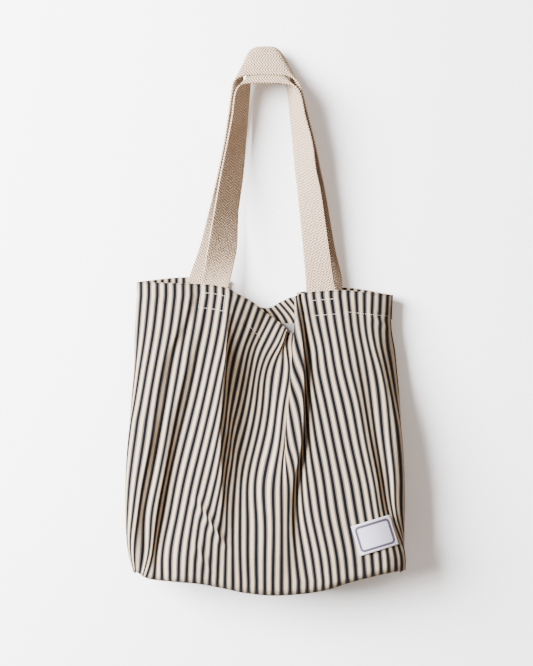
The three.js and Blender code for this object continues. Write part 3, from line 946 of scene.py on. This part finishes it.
# ---- Stage ----
def make_plane(name, size, location, rotation, material):
    half = size / 2
    corners = [(-half, -half, 0), (half, -half, 0), (half, half, 0), (-half, half, 0)]
    mesh = bpy.data.meshes.new(name)
    mesh.from_pydata(corners, [], [(0, 1, 2, 3)])
    mesh.materials.append(material)
    obj = add_object(name, mesh, location, rotation)
    return obj


def make_light(name, location, target, size, power):
    data = bpy.data.lights.new(name, "AREA")
    data.shape = "SQUARE"
    data.size = size
    data.energy = power
    aim = Vector(target) - Vector(location)
    add_object(name, data, location, aim.to_track_quat("-Z", "Y").to_euler())


def make_stage():
    """A pale wall and floor that send no light back, so the warm world fills the shadows."""
    wall = make_plane("wall", 6.0, (0, (REAR_Y + WALL_GAP) * MM, -0.3),
                      (math.radians(90), 0, 0), wall_material())
    wall.visible_diffuse = False
    wall.visible_shadow = False
    floor = make_plane("floor", 8.0, (0, -2.0, -1.1), (0, 0, 0), floor_material())
    floor.visible_diffuse = False
    make_light("key", (-1.8, -1.35, 0.25), (0, 0, -0.4), 1.5, 600)
    make_light("fill", (0.6, -2.4, 0.4), (0, 0, -0.4), 2.4, 6)
    make_light("rear", (0.8, 2.2, 0.6), (0, 0, -0.4), 1.6, 130)
    world = bpy.data.worlds.new("studio")
    world.use_nodes = True
    ambient = world.node_tree.nodes["Background"]
    ambient.inputs["Color"].default_value = (1.0, 0.85, 0.74, 1)
    ambient.inputs["Strength"].default_value = 0.68
    bpy.context.scene.world = world


def make_camera():
    data = bpy.data.cameras.new("camera")
    data.lens = LENS
    bpy.context.scene.camera = add_object("camera", data, EYE * MM,
                                          (math.radians(90), 0, 0))


# ---- Assembly ----
def bend_with_mouth(obj):
    """Bakes the object's placement into its mesh."""
    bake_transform(obj)


def bend_with_handle(obj):
    """Bakes the object's placement into its mesh."""
    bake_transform(obj)


def add_panels(cloths, ticking, thread):
    """Both panels with their hems and hem stitches. Returns each side's panel and hem."""
    panels = {}
    for side, flip, stitch_inset in (("front", False, 0.0), ("back", True, BACK_STITCH_INSET)):
        cloth = cloths[side]
        panel = make_panel(f"{side}_cloth", cloth, ticking, flip,
                           sewn_to=cloths["front"] if side == "back" else None)
        hem = make_hem(f"{side}_hem_cloth", cloth, ticking, flip)
        stitches = hem_stitches(f"{side}_hem_stitches", cloth, thread, stitch_inset)
        for obj, node, slot in ((panel, "panel", "ticking_cloth"),
                                (hem, "hem", "ticking_cloth"),
                                (stitches, "hem_stitch", "thread")):
            bend_with_mouth(obj)
            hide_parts(f"{side}_{node}")
        panels[side] = (panel, hem)
    return panels


def add_seams(front, ticking):
    """The seam allowances inside: the sides, the boxed corners and the bottom."""
    seams = []
    for hand, stripe, across in (("left", FIRST_STRIPE, -1), ("right", LAST_STRIPE, 1)):
        side_seam = make_side_seam(f"side_seam_{hand}_allowance", front, stripe, across, ticking)
        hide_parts(f"side_seam_{hand}")
        corner = make_corner_seam(f"corner_seam_{hand}_allowance", front, across, ticking)
        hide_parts(f"corner_seam_{hand}")
        seams.extend([side_seam, corner])
    bottom = make_bottom_seam(front, ticking)
    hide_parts("bottom_seam")
    seams.append(bottom)
    for seam in seams:
        bend_with_mouth(seam)


def add_handle(side, cloth, stripes, edges, webbing, thread):
    """One handle and the two boxes of stitches that hold it."""
    handle, length = make_handle(f"{side}_handle_webbing", cloth, stripes, edges, webbing)
    bend_with_handle(handle)
    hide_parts(f"{side}_handle", f"{side}_handle_end_left",
                f"{side}_handle_end_right")
    for hand, middle in zip(("left", "right"), stripes):
        box = box_stitches(f"{side}_box_stitches_{hand}", cloth, middle, thread,
                           BOX_STITCH_INSET)
        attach(box, side)
        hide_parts(f"{side}_box_stitch_{hand}")


def add_labels(front_panel, back, thread):
    """The label on the front, and the care label inside the back."""
    surface = label_surface(front_panel)
    label = make_label(surface, label_material())
    stitches = make_label_stitches(surface, thread)
    for obj, node, slot in ((label, "label", "label_cloth"),
                            (stitches, "label_stitch", "thread")):
        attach(obj, "front")
        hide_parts(node)
    care = make_care_label(back, care_material())
    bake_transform(care)
    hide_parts("care_label")


def build():
    """Every piece of the bag, in the order in which they lean on each other."""
    ticking, webbing, thread = ticking_material(), webbing_material(), thread_material()
    front = Cloth(FRONT_SECTIONS, FRONT_MOUTH, COLUMNS, front_depth, CREASES)
    same_height = (FRONT_BASE[1] - EYE.y) / (REAR_Y - EYE.y)
    back = Cloth(BACK_SECTIONS, BACK_MOUTH, COLUMNS, back_depth, base_reach=same_height)

    panels = add_panels({"front": front, "back": back}, ticking, thread)
    add_seams(front, ticking)
    add_handle("front", front, FRONT_HANDLE_STRIPES, FRONT_HANDLE_EDGES, webbing, thread)
    add_handle("back", back, BACK_HANDLE_STRIPES, BACK_HANDLE_EDGES, webbing, thread)
    add_labels(panels["front"][0], back, thread)


make_camera()
make_stage()
build()
